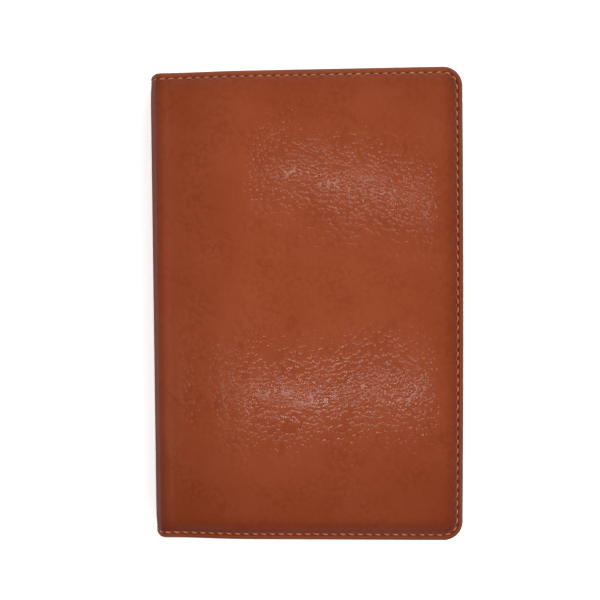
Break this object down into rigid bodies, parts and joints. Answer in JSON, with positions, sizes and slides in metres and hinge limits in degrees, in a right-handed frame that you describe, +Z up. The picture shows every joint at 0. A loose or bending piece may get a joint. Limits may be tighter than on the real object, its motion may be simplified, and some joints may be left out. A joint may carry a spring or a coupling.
{
  "type": "notebook cover",
  "caption": "Padded leather cover for a pocket notebook, sewn round its edges, with inner sleeves and card slots, that opens flat about two folds at its spine.",
  "frame": {"origin": "on the table, under the middle of the closed cover", "axes": "+Z up, from the back panel to the front panel; +Y from tail to head; +X from the spine fold to the fore-edge"},
  "size_m": [0.145, 0.22, 0.02],
  "materials": {
    "cover_leather": "satin",
    "sleeve_leather": "satin",
    "padding_foam": "matte",
    "board": "matte",
    "lining_cloth": "matte",
    "thread": "satin",
    "card": "matte",
    "pages": "matte",
    "spine_tape": "matte"
  },
  "bodies": {
    "back": {"back_leather": "cover_leather", "back_foam": "padding_foam", "back_board": "board", "back_lining": "lining_cloth", "back_sleeve": "sleeve_leather", "back_thread": "thread", "refill_back_cover": "card", "refill_hinge_strip": "pages", "refill_spine_tape": "spine_tape", "signature_1": "pages", "signature_2": "pages", "signature_3": "pages", "signature_4": "pages", "signature_5": "pages", "signature_6": "pages", "signature_7": "pages", "signature_8": "pages"},
    "spine": {"spine_leather": "cover_leather", "spine_foam": "padding_foam", "spine_board": "board", "spine_lining": "lining_cloth", "spine_thread": "thread", "refill_spine_cover": "card"},
    "front": {"front_leather": "cover_leather", "front_foam": "padding_foam", "front_board": "board", "front_lining": "lining_cloth", "front_sleeve": "sleeve_leather", "front_thread": "thread", "card_slot_1": "sleeve_leather", "card_slot_2": "sleeve_leather", "card_slot_3": "sleeve_leather", "slot_thread": "thread", "refill_front_cover": "card"}
  },
  "joints": [
    {"name": "spine_fold", "type": "hinge", "parent": "back", "child": "spine", "pos_m": [-0.07118, 0, 0.00212], "axis": [0, -1, 0], "range_deg": [0, 90]},
    {"name": "front_fold", "type": "hinge", "parent": "spine", "child": "front", "pos_m": [-0.06938, 0, 0.01608], "axis": [0, -1, 0], "range_deg": [0, 90]}
  ]
}
